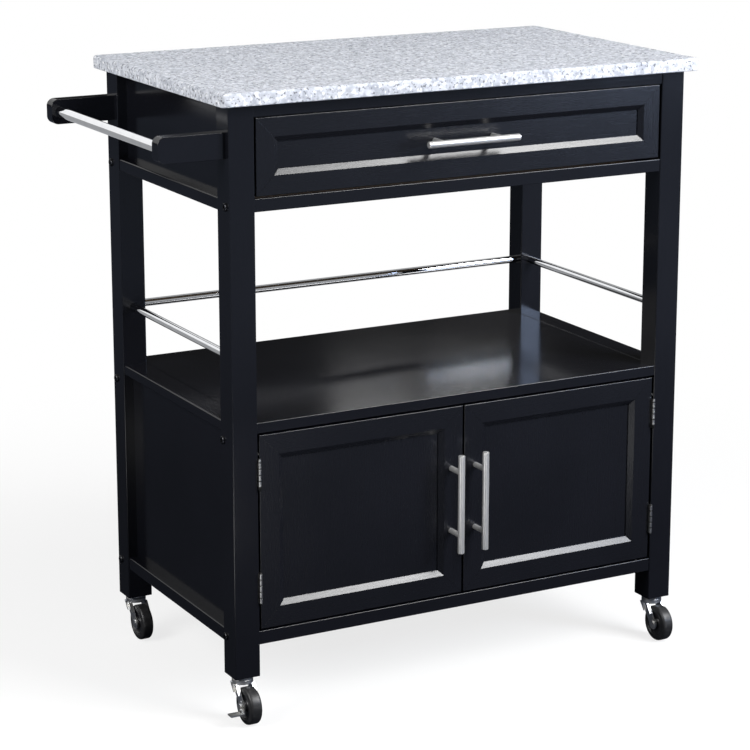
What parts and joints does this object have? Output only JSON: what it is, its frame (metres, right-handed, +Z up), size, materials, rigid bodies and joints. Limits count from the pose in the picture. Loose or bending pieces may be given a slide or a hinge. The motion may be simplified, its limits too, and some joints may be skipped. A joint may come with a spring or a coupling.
{
  "type": "kitchen cart",
  "caption": "Rolling kitchen cart with a granite worktop, black wooden frame, framed drawer, open shelf with chrome rails, two-door cabinet, side towel bar and swivel casters.",
  "frame": {"origin": "on the floor under the middle of the whole cart's box", "axes": "+Z up, +X to the right along the front (the towel bar is on -X), front faces -Y"},
  "size_m": [0.866, 0.4774, 0.914],
  "materials": {
    "granite": "polished",
    "black_paint": "semi-gloss lacquer",
    "drawer_wood": "plain",
    "polished_chrome": "polished",
    "satin_nickel": "satin",
    "zinc_steel": "bright zinc",
    "wheel_black": "matte",
    "catch_plastic": "matte"
  },
  "bodies": {
    "cart_frame": {"granite_top": "granite", "drawer_top_rail": "black_paint", "drawer_bottom_rail": "black_paint", "apron_back": "black_paint", "shelf": "black_paint", "shelf_cleat": "black_paint", "cabinet_floor": "black_paint", "cabinet_back": "black_paint", "leg_bolts": "zinc_steel", "towel_bar": "polished_chrome", "gallery_rail_back": "polished_chrome", "hinge_leg_leaves_and_pins": "satin_nickel", "door_catches": "catch_plastic", "caster_stems": "zinc_steel", "leg_front_left": "black_paint", "leg_front_right": "black_paint", "leg_back_left": "black_paint", "leg_back_right": "black_paint", "apron_rail_left": "black_paint", "apron_left": "black_paint", "shelf_rail_left": "black_paint", "side_panel_left": "black_paint", "bottom_rail_left": "black_paint", "drawer_runner_left": "drawer_wood", "gallery_rail_left": "polished_chrome", "apron_rail_right": "black_paint", "apron_right": "black_paint", "shelf_rail_right": "black_paint", "side_panel_right": "black_paint", "bottom_rail_right": "black_paint", "drawer_runner_right": "drawer_wood", "gallery_rail_right": "polished_chrome", "towel_arm_front": "black_paint", "towel_arm_back": "black_paint"},
    "drawer": {"drawer_front_frame": "black_paint", "drawer_front_panel": "black_paint", "drawer_pull": "satin_nickel", "drawer_side_left": "drawer_wood", "drawer_side_right": "drawer_wood", "drawer_back": "drawer_wood", "drawer_bottom": "drawer_wood"},
    "left_door": {"left_door_frame": "black_paint", "left_door_panel": "black_paint", "left_door_pull": "satin_nickel", "left_door_hardware": "satin_nickel"},
    "right_door": {"right_door_frame": "black_paint", "right_door_panel": "black_paint", "right_door_pull": "satin_nickel", "right_door_hardware": "satin_nickel"},
    "caster_front_left": {"caster_fork_front_left": "zinc_steel"},
    "wheel_front_left": {"caster_wheel_front_left": "wheel_black"},
    "brake_front_left": {"brake_lever_front_left": "zinc_steel"},
    "caster_front_right": {"caster_fork_front_right": "zinc_steel"},
    "wheel_front_right": {"caster_wheel_front_right": "wheel_black"},
    "caster_back_left": {"caster_fork_back_left": "zinc_steel"},
    "wheel_back_left": {"caster_wheel_back_left": "wheel_black"},
    "caster_back_right": {"caster_fork_back_right": "zinc_steel"},
    "wheel_back_right": {"caster_wheel_back_right": "wheel_black"},
    "brake_back_right": {"brake_lever_back_right": "zinc_steel"}
  },
  "joints": [
    {"name": "drawer_slide", "type": "slide", "parent": "cart_frame", "child": "drawer", "axis": [0, -1, 0], "range_m": [0, 0.24]},
    {"name": "left_door_hinge", "type": "hinge", "parent": "cart_frame", "child": "left_door", "pos_m": [-0.2925, -0.20785, 0.138], "axis": [0, 0, -1], "range_deg": [0, 165]},
    {"name": "right_door_hinge", "type": "hinge", "parent": "cart_frame", "child": "right_door", "pos_m": [0.3765, -0.20785, 0.138], "axis": [0, 0, 1], "range_deg": [0, 165]},
    {"name": "swivel_front_left", "type": "hinge", "parent": "cart_frame", "child": "caster_front_left", "pos_m": [-0.3135, -0.18575, 0.068], "axis": [0, 0, 1], "continuous": true},
    {"name": "wheel_spin_front_left", "type": "hinge", "parent": "caster_front_left", "child": "wheel_front_left", "pos_m": [-0.3135, -0.20775, 0.0275], "axis": [1, 0, 0], "continuous": true},
    {"name": "brake_lever_front_left", "type": "hinge", "parent": "caster_front_left", "child": "brake_front_left", "pos_m": [-0.3135, -0.20775, 0.0275], "axis": [1, 0, 0], "range_deg": [0, 25]},
    {"name": "swivel_front_right", "type": "hinge", "parent": "cart_frame", "child": "caster_front_right", "pos_m": [0.3975, -0.18575, 0.068], "axis": [0, 0, 1], "continuous": true},
    {"name": "wheel_spin_front_right", "type": "hinge", "parent": "caster_front_right", "child": "wheel_front_right", "pos_m": [0.3975, -0.20775, 0.0275], "axis": [1, 0, 0], "continuous": true},
    {"name": "swivel_back_left", "type": "hinge", "parent": "cart_frame", "child": "caster_back_left", "pos_m": [-0.3135, 0.20325, 0.068], "axis": [0, 0, 1], "continuous": true},
    {"name": "wheel_spin_back_left", "type": "hinge", "parent": "caster_back_left", "child": "wheel_back_left", "pos_m": [-0.3135, 0.18125, 0.0275], "axis": [1, 0, 0], "continuous": true},
    {"name": "swivel_back_right", "type": "hinge", "parent": "cart_frame", "child": "caster_back_right", "pos_m": [0.3975, 0.20325, 0.068], "axis": [0, 0, 1], "continuous": true},
    {"name": "wheel_spin_back_right", "type": "hinge", "parent": "caster_back_right", "child": "wheel_back_right", "pos_m": [0.3975, 0.18125, 0.0275], "axis": [1, 0, 0], "continuous": true},
    {"name": "brake_lever_back_right", "type": "hinge", "parent": "caster_back_right", "child": "brake_back_right", "pos_m": [0.3975, 0.18125, 0.0275], "axis": [1, 0, 0], "range_deg": [0, 25]}
  ]
}
